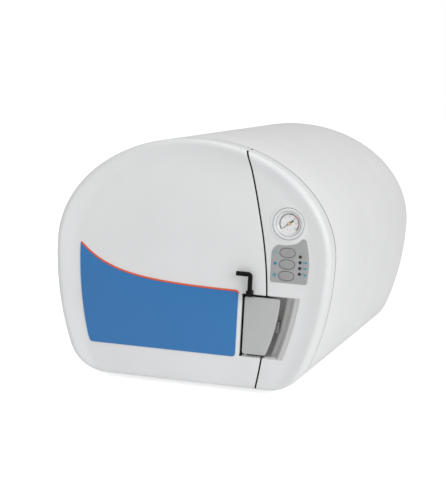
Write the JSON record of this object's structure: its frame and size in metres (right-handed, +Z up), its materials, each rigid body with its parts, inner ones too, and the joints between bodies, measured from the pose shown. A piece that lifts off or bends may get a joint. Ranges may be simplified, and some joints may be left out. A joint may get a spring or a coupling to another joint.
{
  "type": "benchtop autoclave",
  "caption": "Benchtop steam autoclave with a D-shaped white cabinet, hinged front door with a blue panel, pull paddle, lock lever, oval keys and a pressure gauge.",
  "frame": {"origin": "on the surface that the feet stand on, under the middle of the whole width and depth", "axes": "+X to the right seen from the front, +Y to the back, +Z up"},
  "size_m": [0.4, 0.6621, 0.3505],
  "materials": {
    "white_paint": "satin white powder coat",
    "white_plastic": "satin moulded plastic",
    "blue_film": "satin printed film",
    "orange_film": "satin printed film",
    "grey_plastic": "matte moulded plastic",
    "grey_film": "matte printed film",
    "black_plastic": "satin black",
    "stainless": "brushed stainless steel",
    "zinc_steel": "zinc-plated steel",
    "aluminium": "machined aluminium",
    "copper": "dull copper",
    "brass": "machined brass",
    "silicone": "matte silicone",
    "rubber": "matte rubber",
    "fibre": "woven fibre",
    "green_board": "solder-resist green",
    "glass": "clear",
    "dial_white": "matte printed card",
    "lamp_dark": "dark tinted"
  },
  "bodies": {
    "cabinet": {"outer_shell": "white_paint", "base_plate": "white_paint", "rubber_feet": "rubber", "front_bulkhead": "white_paint", "back_panel": "white_paint", "back_panel_screws": "zinc_steel", "chamber_vessel": "stainless", "chamber_flange": "stainless", "flange_bolts": "zinc_steel", "heater_bands": "stainless", "insulation_blanket": "fibre", "insulation_straps": "stainless", "chamber_saddles": "zinc_steel", "tray_rack": "stainless", "tray_bottom": "stainless", "tray_middle": "stainless", "tray_top": "stainless", "relief_valve": "brass", "exhaust_pipe": "copper", "exhaust_valve": "brass", "exhaust_coil": "black_plastic", "outlet_nozzle": "brass", "gauge_pipe": "copper", "temperature_probe": "zinc_steel", "power_board": "green_board", "transformer": "zinc_steel", "power_inlet": "black_plastic", "fuse_holders": "black_plastic", "switch_body": "black_plastic", "fascia": "white_plastic", "recess_liner": "grey_plastic", "control_overlay": "grey_film", "led_lenses": "lamp_dark", "control_board": "green_board", "key_switches": "black_plastic", "gauge_case": "black_plastic", "gauge_bezel": "aluminium", "gauge_glass": "glass", "gauge_dial": "dial_white", "striker": "zinc_steel", "hinge_bracket": "zinc_steel", "hinge_pin": "zinc_steel"},
    "door": {"door_cover": "white_plastic", "blue_panel": "blue_film", "accent_stripe": "orange_film", "door_liner": "white_plastic", "door_bridge": "zinc_steel", "door_plate": "stainless", "door_gasket": "silicone", "centre_bolt": "zinc_steel", "cover_screws": "zinc_steel", "lever_bush": "black_plastic"},
    "paddle": {"handle_paddle": "grey_plastic"},
    "lever": {"lock_lever": "black_plastic"},
    "start_button": {"start_key": "grey_plastic"},
    "dry_button": {"dry_key": "grey_plastic"},
    "stop_button": {"stop_key": "grey_plastic"},
    "needle": {"gauge_needle": "black_plastic"},
    "rocker": {"power_rocker": "black_plastic"},
    "pull_ring": {"relief_ring": "stainless"}
  },
  "joints": [
    {"name": "door_swing", "type": "hinge", "parent": "cabinet", "child": "door", "pos_m": [-0.186, -0.30955, 0.181], "axis": [0, 0, -1], "range_deg": [0, 100]},
    {"name": "paddle_pull", "type": "hinge", "parent": "door", "child": "paddle", "pos_m": [0.0846, -0.31255, 0.097], "axis": [0, 0, -1], "range_deg": [0, 35], "stiffness_Nm_per_rad": 0.25, "springref_deg": -17.19},
    {"name": "lock_turn", "type": "hinge", "parent": "door", "child": "lever", "pos_m": [0.089, -0.32655, 0.151], "axis": [0, 0, 1], "range_deg": [0, 90]},
    {"name": "start_press", "type": "slide", "parent": "cabinet", "child": "start_button", "axis": [0, 1, 0], "range_m": [0, 0.0015], "stiffness_N_per_m": 900, "springref_m": -0.0005},
    {"name": "dry_press", "type": "slide", "parent": "cabinet", "child": "dry_button", "axis": [0, 1, 0], "range_m": [0, 0.0015], "stiffness_N_per_m": 900, "springref_m": -0.0005},
    {"name": "stop_press", "type": "slide", "parent": "cabinet", "child": "stop_button", "axis": [0, 1, 0], "range_m": [0, 0.0015], "stiffness_N_per_m": 900, "springref_m": -0.0005},
    {"name": "needle_turn", "type": "hinge", "parent": "cabinet", "child": "needle", "pos_m": [0.137, -0.31555, 0.243], "axis": [0, 1, 0], "range_deg": [0, 258], "stiffness_Nm_per_rad": 0.0001},
    {"name": "rocker_tilt", "type": "hinge", "parent": "cabinet", "child": "rocker", "pos_m": [0.118, 0.30045, 0.102], "axis": [-1, 0, 0], "range_deg": [0, 12]},
    {"name": "ring_pull", "type": "slide", "parent": "cabinet", "child": "pull_ring", "axis": [0, 1, 0], "range_m": [0, 0.003], "stiffness_N_per_m": 1500, "springref_m": -0.001}
  ]
}
